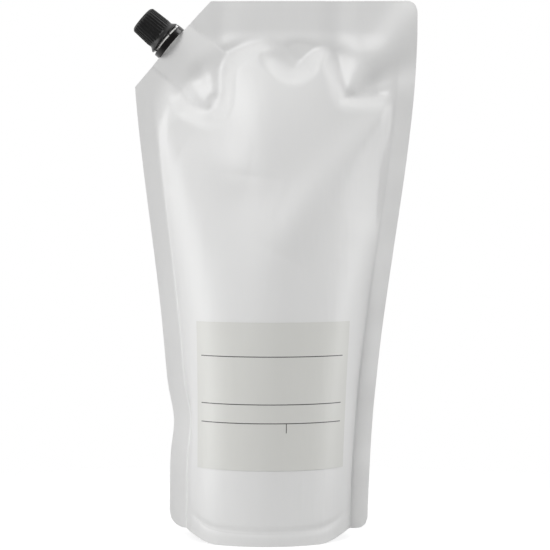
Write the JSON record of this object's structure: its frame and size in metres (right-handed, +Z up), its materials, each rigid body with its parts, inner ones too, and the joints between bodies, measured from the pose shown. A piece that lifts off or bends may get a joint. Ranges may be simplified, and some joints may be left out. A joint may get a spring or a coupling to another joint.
{
  "type": "hand soap refill pack",
  "caption": "Filled stand-up pouch of white film with a bottom gusset, a label panel and a screw-capped pouring spout in its cut-off upper corner.",
  "frame": {"origin": "middle of the base, on the surface that the pack stands on", "axes": "+Z up along the pack's height, -Y out of its front, +X to the right as seen from the front"},
  "size_m": [0.1598, 0.0892, 0.304],
  "materials": {
    "film": "matt white laminated film",
    "label": "matt grey-beige film label",
    "spout": "natural polyethylene",
    "band": "glossy black",
    "liner": "white foamed polyethylene",
    "cap": "satin black"
  },
  "bodies": {
    "pack": {"filled_pouch": "film", "front_label": "label", "spout": "spout", "tamper_band": "band"},
    "liner": {"sealing_disc": "liner"},
    "closure": {"cap": "cap"}
  },
  "joints": [
    {"name": "cap_lift", "type": "slide", "parent": "pack", "child": "liner", "axis": [-0.7602, 0, 0.6497], "range_m": [0, 0.006]},
    {"name": "cap_turn", "type": "hinge", "parent": "liner", "child": "closure", "pos_m": [-0.0587, 0.00015, 0.27925], "axis": [-0.7602, 0, 0.6497], "range_deg": [0, 720]}
  ],
  "couplings": [
    {"joint": "cap_turn", "follows": "cap_lift", "rad_per_m": 2094.4}
  ]
}
